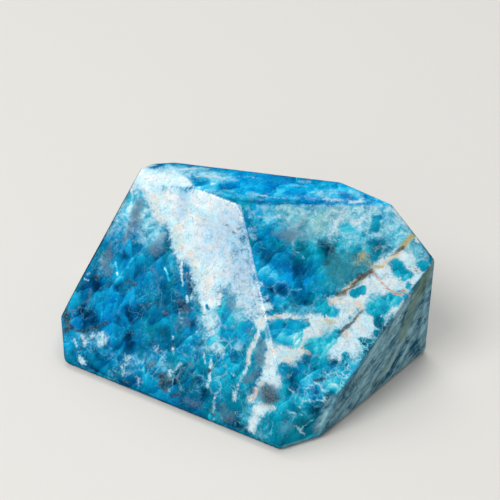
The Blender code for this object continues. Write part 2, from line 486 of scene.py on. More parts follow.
MILK_AND_GLINTS = [
    # Across the arris between the front faces
    (7, 0.45, (272, 352), (275, 362), (272, 380)),
    (5, 0.6, (282, 350), (280, 356)),
    (3, 0.4, (264, 312), (270, 308)),
    # The cloud over the top of the left face
    (9, 1.0, (141, 175), (150, 188)),
    (4, 0.6, (138, 180), (134, 192)),
    (10, 1.0, (152, 178), (185, 182)),
    (9, 0.95, (155, 197), (164, 214)),
    (12, 1.0, (172, 196), (186, 222)),
    (12, 1.0, (182, 225), (186, 248)),
    (14, 1.0, (200, 200), (222, 212)),
    (16, 1.0, (200, 228), (214, 262)),
    (10, 0.6, (222, 214), (228, 235)),
    (14, 0.4, (225, 222), (234, 262)),
    (9, 0.3, (236, 214), (246, 266)),
    (8, 0.3, (245, 252), (252, 284)),
    (9, 0.75, (197, 262), (203, 288)),
    (8, 0.7, (208, 282), (210, 298)),
    (13, 0.62, (226, 274), (249, 292)),
    (7, 0.5, (214, 284), (216, 294)),
    (9, 0.5, (243, 300), (256, 306)),
    (8, 0.4, (240, 314), (254, 318)),
    # Painted glints where the arris at the top of the front faces catches the light.
    (1.2, 0.9, (243, 204)),
    (1.2, 0.74, (247, 205), (252, 205)),
    (1, 0.7, (257, 206), (263, 204)),
    (1.4, 0.64, (182, 262), (182, 270), (183, 285)),
    (1.8, 0.67, (204, 305), (204, 312)),
    (1.8, 0.67, (203, 316), (204, 325)),
    (1.8, 0.67, (219, 294), (219, 298)),
    (1.8, 0.64, (219, 301), (220, 306)),
    (1.6, 0.64, (219, 309), (217, 318)),
    (4, 0.6, (208, 297), (210, 302)),
    (2, 0.52, (213, 300), (213, 310)),
    (6, 0.6, (212, 325), (212, 335)),
    (5, 0.5, (205, 298), (211, 320)),
    (5, 0.5, (214, 345), (219, 350)),
    (1.4, 0.6, (181, 313), (182, 318)),
    (1.6, 0.6, (181, 323)),
    (1.5, 0.6, (186, 296), (187, 302)),
    (1.2, 0.52, (192, 293), (191, 299)),
    (1.5, 0.6, (196, 332)),
    # Round cells under the cloud
    (1.1, 0.52, (222, 341), (223, 336), (227, 332), (233, 330), (240, 331), (245, 335), (247, 339)),
    (1.3, 0.64, (231, 348)),
    (1.3, 0.64, (222, 355), (222, 358)),
    (1.3, 0.57, (220, 363)),
    (1.6, 0.71, (211, 361), (211, 368)),
    (1.8, 0.67, (210, 374), (210, 379)),
    (2, 0.6, (209, 381), (208, 386)),
    (1.3, 0.64, (204, 354), (205, 362)),
    (1, 0.4, (209, 382), (214, 380), (218, 383), (219, 388)),
    (1, 0.43, (215, 375), (221, 377), (225, 373), (226, 368)),
    (1, 0.4, (231, 372), (234, 376), (238, 377)),
    (1.5, 0.6, (217, 391), (215, 394)),
    (1.9, 0.67, (215, 398), (214, 406)),
    (1.6, 0.57, (214, 410), (214, 413)),
    (1.5, 0.52, (214, 418), (215, 421)),
    (1.5, 0.6, (221, 418)),
    (1.5, 0.6, (236, 413)),
    # Left face, lower left
    (2, 0.6, (88, 273)),
    (1.1, 0.43, (84, 278), (89, 282)),
    (5, 0.5, (98, 336), (103, 338)),
    (3, 0.6, (100, 343)),
    (2, 0.43, (91, 337)),
    (1.5, 0.52, (88, 342)),
    (1.9, 0.67, (74, 341), (77, 346)),
    (1.3, 0.64, (78, 352)),
    (3.1, 0.74, (80, 359), (83, 363)),
    (2.5, 0.55, (83, 337), (84, 345)),
    (3.5, 0.42, (124, 364), (130, 359)),
    (3.5, 0.42, (122, 371), (124, 376)),
    (3, 0.3, (136, 376), (140, 381), (139, 385)),
    (5, 0.18, (139, 362), (143, 367)),
    (4, 0.34, (157, 349), (160, 353), (164, 360)),
    (1.6, 0.64, (173, 337), (172, 341)),
    (1.6, 0.57, (173, 348), (173, 353)),
    (1.8, 0.57, (169, 369), (170, 377)),
    (1.3, 0.6, (170, 386), (169, 392)),
    (2, 0.43, (180, 365), (175, 371)),
    # The pale vein across both faces, and the band beside it
    (2.3, 0.74, (259, 332), (256, 338), (253, 344)),
    (2.3, 0.7, (252, 346), (249, 353), (248, 361), (246, 368)),
    (2, 0.61, (244, 373), (240, 381), (237, 388)),
    (2, 0.6, (235, 393), (233, 400)),
    (4, 1.0, (260, 321), (263, 326)),
    (3.1, 0.7, (269, 338), (271, 350)),
    (4.5, 0.65, (271, 358), (268, 368), (265, 375)),
    (3.5, 0.7, (263, 380), (259, 388)),
    (3, 0.7, (254, 396), (250, 399)),
    (4.5, 0.6, (257, 405), (262, 410)),
    (4.5, 0.7, (256, 413), (254, 420)),
    (4, 0.7, (252, 425), (252, 431)),
    (5, 0.55, (272, 372), (275, 380)),
    (5, 0.45, (275, 385)),
    (4, 0.6, (265, 408), (272, 408)),
    # Right face, glassy blue
    (1.3, 0.5, (248, 216), (262, 217), (280, 216)),
    (4, 0.4, (251, 231), (253, 237)),
    (4, 0.2, (266, 269), (273, 273)),
    (2.5, 0.5, (262, 299), (267, 297)),
    (3.5, 0.65, (262, 307), (269, 306)),
    (3, 0.4, (259, 284), (262, 284)),
    (1, 0.3, (293, 236), (292, 242), (294, 248), (298, 253), (303, 258), (309, 259)),
    (1, 0.35, (292, 289), (296, 290), (302, 288)),
    # Right face, upper right
    (8, 0.35, (330, 222), (345, 240)),
    # Thin strokes along the arris under the top: painted highlights where it catches the light.
    (1.5, 0.6, (302, 206), (312, 205), (326, 206)),
    (1.5, 0.5, (376, 206), (390, 207)),
    (1.2, 0.45, (268, 203), (286, 204)),
    (1.3, 0.5, (304, 204), (322, 205), (345, 206)),
    (2, 0.5, (300, 214), (307, 214)),
    (3, 0.7, (352, 222), (359, 222), (366, 216)),
    (4, 0.55, (345, 211), (344, 216)),
    (2.5, 0.5, (340, 222), (333, 228), (328, 236)),
    (5, 0.55, (396, 212), (403, 222)),
    (2, 0.6, (415, 238), (420, 244)),
    # Right face, the white band
    (8, 0.9, (418, 268), (402, 257), (382, 268)),
    (8, 0.9, (414, 282), (395, 282)),
    (8, 0.9, (385, 288), (372, 284), (362, 292)),
    (9, 0.9, (355, 300), (345, 312), (335, 318)),
    (8, 0.9, (368, 322), (380, 318)),
    (10, 0.95, (360, 330), (350, 345), (340, 350)),
    (8, 0.9, (395, 305), (400, 312)),
    (6, 0.85, (322, 325), (310, 332), (300, 340)),
    (8, 0.95, (296, 348), (288, 355)),
    (5, 0.85, (310, 320), (325, 318)),
    (6, 0.8, (340, 300), (330, 303)),
    (2.6, 0.66, (266, 318), (290, 317), (310, 320)),
    # Top
    (2.5, 0.55, (198, 176), (215, 176), (222, 178)),
    (2.5, 0.3, (225, 179), (238, 180)),
    (2, 0.35, (222, 190), (233, 191)),
    (2.5, 0.4, (250, 196), (263, 195)),
    (3, 0.6, (180, 170), (195, 168)),
    (3, 0.6, (325, 199), (340, 201)),
    (2.5, 0.35, (300, 181), (308, 182)),
    (3, 0.4, (355, 193), (362, 200)),
    (2.5, 0.5, (350, 203), (360, 201)),
    (3, 0.5, (198, 190), (214, 194)),
    (2.2, 0.66, (143, 169), (152, 165), (170, 165)),
    (1.5, 0.7, (174, 171), (190, 172)),
    (1.5, 0.6, (182, 176), (192, 176)),
    (2, 0.25, (240, 176), (256, 178)),
    (2, 0.3, (262, 196), (284, 198)),
    (2, 0.3, (292, 185), (306, 186)),
    (2.5, 0.35, (320, 192), (338, 194)),
    (2, 0.35, (345, 200), (365, 203)),
]

# Windows of clear blue in the milk and the haze.
POOLS = [
    # Left face
    (5, 0.4, (229, 295), (231, 307)),
    (5.5, 0.9, (224, 312), (229, 320)),
    (2.5, 0.9, (208, 308)),
    (3, 1.0, (209, 342), (214, 339)),
    (3.5, 0.8, (243, 325), (248, 323)),
    (9, 1.0, (230, 338), (239, 338)),
    (4.5, 0.9, (219, 372), (221, 370)),
    (4.5, 0.9, (215, 387)),
    (8, 0.9, (186, 380)),
    (4, 0.8, (199, 381)),
    (5, 0.7, (188, 350)),
    (4, 0.6, (183, 313)),
    # Right face
    (4, 0.9, (256, 277), (258, 280)),
    (5, 0.9, (268, 282)),
    (6, 1.0, (282, 290)),
    (4, 0.9, (346, 229), (349, 228)),
    (3, 0.8, (375, 218), (380, 218)),
    (5, 0.8, (376, 227)),
    (4, 0.7, (363, 234)),
    (7, 0.8, (374, 245), (374, 254)),
    (7, 1.0, (396, 266), (404, 274)),
    (4.5, 1.0, (423, 264), (426, 268)),
    (4.5, 1.0, (354, 293), (361, 291)),
    (3.5, 0.9, (408, 286), (415, 288)),
    (7, 1.0, (375, 309), (384, 305), (392, 300)),
    (7, 1.0, (324, 306), (331, 311)),
    (3, 0.7, (350, 318)),
    (5, 1.0, (380, 323), (386, 329)),
    (3, 1.0, (377, 334)),
    (4, 1.0, (363, 341), (368, 342)),
    (4, 1.0, (366, 348), (370, 353)),
    (7, 1.0, (314, 347), (322, 345)),
    (4, 1.0, (328, 345), (333, 339), (338, 334)),
    (9, 1.0, (278, 331), (292, 335)),
    (4.5, 1.0, (297, 325), (305, 323)),
    (4, 1.0, (298, 335)),
    (3.5, 0.9, (333, 361)),
    (4, 0.9, (345, 357), (346, 367)),
    (4, 0.9, (353, 368)),
    (5, 0.9, (304, 365)),
    (6, 0.9, (332, 383), (336, 381)),
    (5, 0.9, (333, 396)),
    (6, 0.8, (315, 388)),
    (3.5, 0.8, (304, 397)),
    (3.5, 0.9, (340, 371), (345, 375)),
    (3, 0.8, (350, 377)),
    (5, 0.7, (283, 369), (286, 372)),
]

# A lavender tint over the white mineral: mostly a painted reflection of the soft light on the left face's upper
# right, partly the white's own tint.
LILAC_AND_REFLECTION = [
    (10, 0.5, (210, 235), (212, 250)),
    (5, 0.7, (183, 195), (182, 215)),
    (14, 0.7, (228, 220), (243, 264)),
    (12, 0.4, (240, 275), (250, 300)),
    (6, 0.4, (205, 222)),
]

CREAM = [
    (5, 0.9, (155, 198), (158, 206)),
    (4, 0.9, (160, 216), (161, 223)),
    (6, 0.9, (178, 228), (180, 246)),
    (3, 0.8, (187, 204), (187, 216)),
    (5, 0.7, (198, 215), (210, 218)),
    (4, 0.7, (222, 216)),
    (5, 0.8, (190, 256), (196, 275)),
    (4, 0.7, (207, 270), (207, 290)),
    (3, 0.7, (198, 288)),
    (8, 0.9, (300, 350), (290, 357)),
    (8, 0.8, (345, 305), (352, 310)),
    (6, 0.8, (330, 322), (320, 330)),
    (4, 0.9, (260, 321), (263, 326)),
    (4, 0.9, (395, 256), (386, 261)),
    (3, 0.8, (257, 337), (250, 350), (247, 365)),
    (4, 0.8, (410, 270), (416, 262)),
]

SMOKE = [
    (6, 0.65, (139, 205), (137, 212), (136, 222)),
    (3, 0.5, (131, 224), (127, 235), (123, 243)),
    (2.5, 0.5, (110, 243), (108, 250)),
    (4, 0.65, (106, 253), (110, 257)),
    (4, 0.5, (104, 262), (109, 273)),
    (8, 0.5, (157, 247)),
    (4, 0.4, (163, 236)),
    (6, 0.4, (153, 252)),
    (1.2, 0.6, (96, 283), (90, 290), (88, 298), (82, 304), (76, 311), (66, 311)),
    (1.4, 0.42, (150, 268), (156, 272), (157, 282), (159, 292), (161, 300), (160, 310), (168, 314), (176, 330)),
    (3, 0.4, (65, 333)),
    (2, 0.5, (161, 277)),
    (4, 0.35, (187, 275), (190, 290)),
    (3, 0.4, (178, 300), (188, 309)),
    (3, 0.4, (165, 312)),
    (4, 0.35, (180, 320), (188, 322), (178, 326)),
    (5, 0.45, (229, 295), (231, 306)),
    (3, 0.5, (248, 331)),
    (4, 0.4, (232, 358)),
    (3, 0.5, (191, 366)),
    (6, 0.5, (225, 420), (232, 416)),
    (5, 0.4, (222, 408)),
    (5, 0.45, (185, 400), (200, 405)),
    (6, 0.45, (285, 225), (292, 232)),
    (5, 0.5, (286, 236), (290, 239)),
    (3, 0.55, (272, 234), (277, 235)),
    (6, 0.5, (303, 228), (306, 236)),
    (4, 0.4, (303, 219)),
    (9, 0.8, (268, 395)),
    (6, 0.5, (282, 430), (285, 426)),
    (5, 0.6, (262, 345), (260, 360)),
    (4, 0.6, (256, 373), (252, 379), (247, 380)),
    # Across the arris between the right face and the right wall
    (2.5, 0.4, (372, 350), (362, 360)),
]

MOSS = [
    # Right wall
    (8, 0.9, (428, 270), (412, 310), (403, 335)),
    (5, 0.6, (395, 355), (375, 385)),
    # Right face
    (12, 0.5, (290, 212), (310, 214)),
    (10, 0.5, (325, 215), (335, 225)),
    (8, 0.5, (318, 228), (330, 235)),
    (8, 0.45, (345, 210)),
    (12, 0.6, (340, 262), (355, 262)),
    (10, 0.6, (340, 275)),
    (8, 0.7, (362, 262)),
    (6, 0.5, (330, 265)),
    (5, 0.5, (413, 248)),
]

GOLD = [
    (5, 0.5, (355, 262), (362, 258)),
    (4, 0.5, (365, 254)),
    (4, 0.5, (370, 265)),
    (3, 0.5, (374, 248)),
    (2.8, 1.0, (413, 236), (407, 242), (402, 247)),
    (2, 0.7, (384, 266), (376, 268)),
    (2.2, 0.8, (360, 278), (352, 284)),
    (2, 0.6, (327, 321), (334, 323), (331, 324)),
    (1.5, 0.7, (68, 318)),
    (1.5, 0.7, (97, 329)),
]

BEIGE = [
    # The vein down the right face
    (2.2, 0.7, (413, 238), (405, 246), (396, 254)),
    (2.0, 0.8, (396, 254), (388, 260), (381, 266), (373, 270)),
    (2.4, 0.8, (370, 273), (360, 277), (352, 284), (345, 291)),
    (3, 0.6, (345, 292), (337, 298), (330, 302)),
    (1.5, 0.5, (411, 252), (416, 262), (419, 272)),
    # The arch and the streak under it
    (1.5, 0.35, (257, 323), (261, 318), (268, 316), (279, 315), (290, 317), (302, 320), (320, 321)),
    (1.1, 0.4, (269, 317), (277, 316)),
    (4, 0.3, (320, 322), (332, 324), (345, 318)),
    (3, 0.5, (358, 303), (363, 310), (357, 319)),
    (2, 0.35, (345, 304), (358, 302)),
    # The pale vein across the left face
    (1.3, 0.25, (257, 336), (252, 347), (248, 360), (244, 372), (239, 385), (233, 397)),
    (2, 0.2, (271, 345), (271, 360), (266, 374), (262, 382)),
    (1.5, 0.5, (262, 382), (256, 392), (250, 398)),
    (3, 0.4, (262, 404), (272, 409)),
]

RUST = [
    (1.2, 0.7, (350, 288), (346, 289)),
    (1.3, 0.95, (372, 271), (375, 275), (380, 280), (384, 285), (389, 290), (395, 294), (401, 296)),
    (1.3, 0.9, (401, 290), (406, 292), (410, 297)),
    (3, 0.5, (358, 303), (362, 308)),
    (2.5, 0.6, (345, 331), (347, 336)),
    (1.1, 0.6, (357, 320), (361, 326), (366, 331)),
    (2, 0.35, (347, 304)),
    (0.9, 0.6, (273, 350), (278, 354), (283, 358), (290, 362)),
    (1.1, 0.7, (304, 350), (309, 353)),
    (1.2, 0.5, (262, 320), (268, 317), (274, 316), (280, 317)),
    (1.2, 0.6, (262, 381), (261, 385)),
    (1.5, 0.6, (256, 388), (254, 396)),
    (2, 0.6, (249, 398), (254, 397)),
    (1.1, 0.5, (257, 408), (262, 406)),
    (1.2, 0.5, (272, 410)),
    (1.2, 0.5, (187, 254), (194, 253)),
    (1.3, 0.5, (207, 278), (210, 275), (216, 273), (222, 274), (225, 277)),
    (1.0, 0.5, (188, 251)),
    (1.2, 0.35, (252, 347), (249, 353), (248, 362)),
]

UMBER = [
    # Left face
    (2, 0.7, (72, 327), (78, 330), (85, 331), (92, 329), (98, 327), (106, 323)),
    (4, 0.8, (65, 313), (69, 325), (66, 330)),
    (3, 0.7, (97, 277)),
    (1.5, 0.5, (104, 288), (110, 284), (113, 283)),
    (3, 0.5, (126, 281), (134, 284)),
    (2, 0.7, (135, 285)),
    (2, 0.5, (131, 290)),
    (1.5, 0.6, (157, 300), (158, 308)),
    (3, 0.4, (133, 333)),
    (3, 0.5, (154, 341)),
    (1.5, 0.7, (75, 350)),
    (1.5, 0.7, (78, 355)),
    (2, 0.6, (80, 349)),
    (2.5, 0.7, (80, 367), (90, 369)),
    (2, 0.5, (118, 383), (130, 388)),
    (1.2, 0.5, (116, 358)),
    (1.2, 0.6, (120, 354), (125, 352)),
    (3, 0.6, (122, 381), (128, 383)),
    (5, 0.75, (163, 378), (165, 386)),
    (3, 0.7, (170, 381)),
    (1.5, 0.8, (171, 345), (174, 344)),
    (2, 0.7, (172, 396), (179, 394)),
    (2, 0.5, (178, 361)),
    (1.0, 0.6, (201, 314), (206, 314)),
    (1.0, 0.6, (202, 327), (206, 327)),
    (1.0, 0.6, (216, 292), (222, 292)),
    (1.0, 0.6, (217, 300), (221, 300)),
    (1.0, 0.5, (218, 307), (221, 307)),
    (1.2, 0.5, (209, 331)),
    (1.2, 0.5, (218, 329)),
    (1.2, 0.5, (199, 331)),
    (1.5, 0.8, (208, 370), (213, 371)),
    (1.0, 0.5, (203, 358), (206, 358)),
    (1.0, 0.6, (213, 395), (218, 394)),
    (2.5, 0.6, (212, 410)),
    (1.5, 0.8, (213, 415), (216, 414)),
    (1.3, 0.6, (226, 225), (228, 227)),
    (1.5, 0.7, (233, 232), (237, 233)),
    (1.2, 0.6, (236, 227), (239, 228)),
    (1.0, 0.5, (227, 213)),
    (1.0, 0.5, (218, 217)),
    (1.2, 0.5, (179, 223)),
    (1.2, 0.5, (173, 233)),
    (1.2, 0.5, (191, 220)),
    (1.5, 0.6, (196, 267)),
    (1.2, 0.5, (199, 294)),
    (1.2, 0.5, (155, 211)),
    # Right face
    (1.8, 0.9, (403, 247), (397, 251)),
    (1.2, 0.5, (397, 252), (389, 257), (386, 262)),
    (2.2, 1.0, (372, 271), (365, 274), (358, 277)),
    (1.8, 0.7, (358, 279), (351, 286)),
    (1.5, 0.7, (350, 288), (346, 290)),
    (2.4, 0.7, (345, 292), (337, 294)),
    (1.1, 0.9, (364, 310), (359, 316), (354, 320), (349, 324)),
    (1.3, 0.9, (348, 325), (344, 328), (340, 333)),
    (1.2, 0.5, (386, 296), (378, 299)),
    (4, 0.4, (357, 270), (350, 268)),
    (1.3, 0.6, (360, 219)),
    (1.0, 0.4, (272, 316), (277, 317)),
    (1.0, 0.6, (301, 348), (306, 346), (311, 343)),
    (1.2, 0.7, (305, 358), (310, 354)),
    (1.2, 0.9, (314, 380), (320, 379), (325, 378)),
    (8, 0.5, (266, 391), (270, 397)),
    (3, 0.4, (266, 402), (276, 400)),
    # Right wall
    (4, 0.42, (348, 388), (362, 376), (372, 362)),
    (2, 0.38, (378, 366), (388, 358)),
    (1.5, 0.4, (399, 322), (393, 334), (386, 345)),
    (2, 0.35, (352, 392), (342, 406)),
    (1.1, 0.7, (412, 322), (418, 319), (423, 317), (427, 320)),
    (2.5, 0.5, (361, 397)),
    (1.5, 0.5, (400, 318), (402, 312)),
    (1.2, 0.5, (280, 379), (283, 379)),
    (1.0, 0.4, (238, 386)),
    (1.5, 0.5, (415, 250)),
    (1.5, 0.6, (416, 268), (420, 273)),
]

TEAL = [
    (2.5, 0.8, (118, 213)),
    (4, 0.6, (100, 255), (96, 268), (93, 275)),
    (4, 0.5, (165, 302), (167, 308)),
    (5, 0.5, (163, 333)),
    (8, 0.5, (300, 244)),
    (7, 0.6, (335, 275), (330, 262)),
    (5, 0.5, (355, 214)),
    (12, 0.4, (285, 440), (265, 432)),
    (5, 0.5, (382, 322)),
    (8, 0.4, (300, 420)),
]


# Where the right wall's grey comes round the arris. That grey is partly the wall's own rougher grey-green
# stone, partly a painted reflection of the pale floor.
SLATE_AND_FLOOR_REFLECTION = [
    (5, 1.0, (331, 403), (325, 414), (320, 427), (317, 438)),
    (2.5, 0.8, (350, 381), (343, 389), (336, 397)),
    (2, 0.6, (383, 339), (374, 350), (366, 360)),
]


# Wide soft strokes that make the blue lighter or darker. The first two, along the foot, are a painted contact
# shadow.
WASH_AND_CONTACT_SHADOW = [
    # Along the foot: a painted contact shadow where the stone meets the floor
    (4, -0.30, (66, 362), (110, 381), (165, 402), (215, 424), (250, 438), (283, 449), (312, 440)),
    (4, -0.40, (325, 433), (360, 405), (395, 377), (424, 352)),
    # Top
    (16, 0.21, (190, 182), (260, 188), (320, 192), (385, 202)),
    # Left face
    (16, 0.03, (90, 300), (130, 280)),
    (14, 0.06, (80, 345), (100, 352)),
    (14, 0.04, (210, 340), (230, 360)),
    (16, -0.08, (200, 390), (225, 405)),
    (14, 0.08, (232, 330), (240, 400)),
    (14, 0.06, (140, 235)),
    (14, 0.14, (190, 180), (230, 182)),
    # Right face
    (18, 0.20, (262, 225), (290, 238)),
    (12, -0.22, (340, 405), (325, 430)),
    (16, 0.16, (262, 275), (290, 288)),
    (14, 0.10, (262, 212), (300, 212)),
    (16, -0.06, (300, 285), (325, 275)),
    (18, 0.09, (290, 380), (330, 395)),
    (12, 0.10, (226, 338), (242, 338)),
    (14, 0.12, (228, 290), (250, 312)),
    (14, 0.12, (282, 330), (325, 345)),
    (12, 0.12, (325, 308), (385, 306)),
    (12, 0.04, (335, 375), (352, 376)),
    (10, 0.10, (375, 350), (400, 358)),
    (5, -0.14, (333, 392), (322, 412), (316, 428)),
    (16, 0.15, (270, 410), (295, 435)),
    (18, 0.12, (330, 355), (360, 350)),
    (20, 0.10, (360, 235), (400, 250)),
    (14, 0.08, (390, 300), (420, 265)),
]

HUE = [
    (60, 0.30, (330, 240), (380, 260), (320, 350), (290, 420)),
    # Top
    (22, -0.65, (260, 186), (300, 190), (380, 200)),
    (14, -0.35, (190, 182), (240, 184)),
    # Left face
    (30, -0.25, (130, 300), (100, 310)),
    (16, 0.20, (95, 270), (80, 290)),
    (14, 0.20, (160, 320)),
    (14, -0.10, (230, 335)),
    (18, 0.25, (215, 390), (240, 420)),
    (12, 0.20, (120, 370)),
    # Right face
    (18, -0.30, (270, 255), (285, 262)),
    (14, 0.20, (270, 280), (275, 300)),
    (16, -0.35, (290, 285), (315, 280)),
    (20, 0.30, (335, 250), (350, 272)),
    (16, 0.15, (300, 240)),
    (20, 0.25, (340, 340), (370, 320)),
    (20, 0.20, (395, 270)),
    (20, 0.30, (270, 430), (300, 440)),
    (22, -0.20, (300, 378), (338, 384)),
    (16, -0.25, (268, 275), (280, 300)),
    (12, -0.12, (345, 362), (352, 372)),
]

# A pale veil over the blue: partly milky mineral, partly a painted reflection of the soft light on the left
# face's upper right and painted sheen along rounded edges.
HAZE_AND_SHEEN = [
    # Along the edges of the right face: painted sheen on the rounded rims
    (4, 0.9, (396, 208), (412, 230), (428, 250), (432, 263)),
    (4, 0.6, (431, 270), (414, 292), (404, 305), (392, 322), (375, 342)),
    # Round the cloud on the left face; on its upper right a painted reflection of the soft light
    (16, 0.85, (138, 172), (150, 180), (170, 176)),
    (10, 0.52, (136, 182), (118, 214)),
    (14, 0.60, (150, 200), (158, 222)),
    (12, 0.45, (138, 218), (150, 238)),
    (9, 0.35, (175, 255), (181, 272)),
    (10, 0.70, (202, 295), (215, 312)),
    (14, 0.38, (235, 295), (252, 300)),
    (12, 0.40, (232, 314), (250, 318)),
    (10, 0.55, (206, 322), (212, 338)),
    (7, 0.20, (200, 345), (222, 350)),
    (14, 0.40, (120, 222), (150, 228)),
    (12, 0.30, (112, 235), (104, 258)),
    (7, 0.45, (100, 338), (82, 340)),
    (10, 0.24, (120, 360), (128, 366)),
    (12, 0.2, (138, 364), (160, 362)),
    # Right face
    (12, 0.45, (262, 211), (285, 212)),
    (16, 0.65, (292, 212), (345, 214)),
    (15, 0.50, (315, 225), (350, 232)),
    (18, 0.60, (360, 215), (398, 228)),
    (14, 0.40, (385, 238), (405, 240)),
    (16, 0.50, (335, 310), (372, 288), (415, 262)),
    (10, 0.40, (285, 320), (330, 320)),
    (12, 0.45, (285, 352), (325, 332)),
    (16, 0.45, (340, 340), (380, 318)),
    (9, 0.25, (356, 352), (370, 345)),
    (8, 0.45, (266, 350), (268, 385)),
    (10, 0.35, (254, 400), (254, 430)),
    # Top
    (4, 0.60, (170, 166), (205, 169)),
    (9, 0.65, (188, 172), (222, 178)),
    (7, 0.45, (195, 190), (215, 193)),
    (7, 0.20, (235, 195), (262, 196)),
    (8, 0.20, (290, 197), (305, 198)),
    (10, 0.38, (325, 196), (360, 200), (390, 207)),
]

NET = [
    (12, 0.9, (350, 345), (372, 345)),
    (10, 0.8, (352, 365), (338, 376)),
    (12, 0.5, (310, 385), (338, 392)),
    (10, 0.42, (300, 405), (290, 415)),
    (12, 0.6, (213, 350), (235, 350)),
    (12, 0.6, (215, 380), (235, 390)),
    (10, 0.5, (172, 375), (190, 385)),
    (12, 0.4, (298, 228), (298, 250)),
    (10, 0.5, (330, 242)),
    (10, 0.5, (385, 305)),
    (12, 0.4, (120, 365), (150, 375)),
    (10, 0.4, (90, 345)),
]


# Thin pale lines between cells.
SEAMS = [
    # Right face, the net between the lower cells
    (0.9, 0.6, (299, 396), (304, 390), (310, 385), (315, 381)),
    (1.1, 0.6, (306, 401), (312, 400), (322, 400), (325, 398)),
    (0.9, 0.6, (323, 388), (323, 395), (325, 404), (322, 412)),
    (0.9, 0.5, (315, 381), (322, 385), (322, 392), (318, 399)),
    (0.9, 0.5, (325, 372), (331, 375), (341, 376), (343, 384)),
    (0.9, 0.5, (325, 390), (333, 391), (341, 388), (344, 382)),
    (0.9, 0.5, (300, 398), (303, 403), (300, 408)),
    (0.9, 0.5, (288, 388), (294, 393), (299, 396)),
    (1.1, 0.55, (288, 413), (295, 414), (303, 415)),
    (0.9, 0.55, (288, 421), (294, 425), (300, 431), (305, 434)),
    (0.9, 0.45, (312, 420), (305, 426), (300, 431)),
]


def paint(mesh, tree):
    """Writes every layer of ink on the mesh's points, and how far each point is hidden from the camera."""
    faces = flat_faces("apatite")
    faces = faces[-(faces[:, :3] @ np.array(VIEW)) > LEAST_FACING]
    places = np.array([v.co / MM for v in mesh.vertices])
    normals = np.array([v.normal for v in mesh.vertices])
    ragged = np.hstack([warped([Vector(place) for place in places]), face_turns(places, faces)])
    facing = (normals * (np.array(CAMERA_PLACE) - places)).sum(axis=1) / CAMERA_DISTANCE
    wall = normals @ np.array(WALL_NORMAL)
    directions = faces[:, :3]
    others = directions[directions @ np.array(WALL_NORMAL) < 0.98]
    beside_wall = (normals @ others.T).max(axis=1)
    aim = (tree, faces)
    layers = {
        # This layer also carries the painted contact shadow along the foot.
        "tone_and_shade": tint(ragged, aim, TONE, 0.7) + tint(ragged, aim, WASH_AND_CONTACT_SHADOW, 0.95),
        "hue": tint(ragged, aim, HUE, 0.9),
        # Pale veil: partly milky mineral, partly painted reflection and edge sheen.
        "haze_and_sheen": ink(ragged, aim, HAZE_AND_SHEEN, 0.9),
        "net": ink(ragged, aim, NET, 0.8),
        "pool": ink(ragged, aim, POOLS, 0.6),
        "milk_and_glints": ink(ragged, aim, MILK_AND_GLINTS, 0.7),
        "lilac_and_reflection": ink(ragged, aim, LILAC_AND_REFLECTION, 0.9),
        "cream": ink(ragged, aim, CREAM, 0.9),
        "smoke": ink(ragged, aim, SMOKE, 0.8),
        "moss": ink(ragged, aim, MOSS, 0.8),
        "beige": ink(ragged, aim, BEIGE, 0.8),
        "gold": ink(ragged, aim, GOLD, 0.9),
        "rust": ink(ragged, aim, RUST, 0.9),
        "umber": ink(ragged, aim, UMBER, 0.9),
        "teal": ink(ragged, aim, TEAL, 0.8),
        "seam": ink(ragged, aim, SEAMS, 0.7),
        "hidden": 1 - smooth(facing, -0.30, -0.08),
        # The right wall: its own grey-green stone with a painted reflection of the pale floor.
        "slate_and_floor_reflection": np.maximum(
            smooth(wall - beside_wall, -0.12, 0.12) * smooth(wall, 0.2, 0.6), ink(ragged, aim, SLATE_AND_FLOOR_REFLECTION, 0.7)
        ),
    }
    for name, values in layers.items():
        layer = mesh.attributes.new(name, "FLOAT", "POINT")
        layer.data.foreach_set("value", values.astype(np.float32))


# Materials


def put(tree, kind, inputs=(), **settings):
    """A new node with these settings, and its inputs set to a value or linked to a socket."""
    node = tree.nodes.new(kind)
    for name, value in settings.items():
        setattr(node, name, value)
    for key, value in dict(inputs).items():
        if isinstance(value, bpy.types.NodeSocket):
            tree.links.new(value, node.inputs[key])
        else:
            node.inputs[key].default_value = value
    return node


def maths(tree, operation, first, second=0.0, third=0.0):
    return put(tree, "ShaderNodeMath", {0: first, 1: second, 2: third}, operation=operation).outputs[0]


def rise(tree, value, low, high, start=0.0, end=1.0):
    """From start, below low, to end, above high."""
    inputs = {"Value": value, "From Min": low, "From Max": high, "To Min": start, "To Max": end}
    return put(tree, "ShaderNodeMapRange", inputs, interpolation_type="SMOOTHSTEP").outputs[0]


def shift(tree, value, pattern, amount):
    """The value moved up and down by a pattern that runs from 0 to 1."""
    return maths(tree, "MULTIPLY_ADD", maths(tree, "SUBTRACT", pattern, 0.5), amount, value)


def blend(tree, share, first, second, mode="MIX"):
    inputs = {0: share, 6: first, 7: second}
    return put(tree, "ShaderNodeMix", inputs, data_type="RGBA", blend_type=mode).outputs[2]


def grain(tree, place, scale, detail=3.0, roughness=0.55):
    inputs = {"Vector": place, "Scale": scale, "Detail": detail, "Roughness": roughness}
    return put(tree, "ShaderNodeTexNoise", inputs).outputs["Fac"]


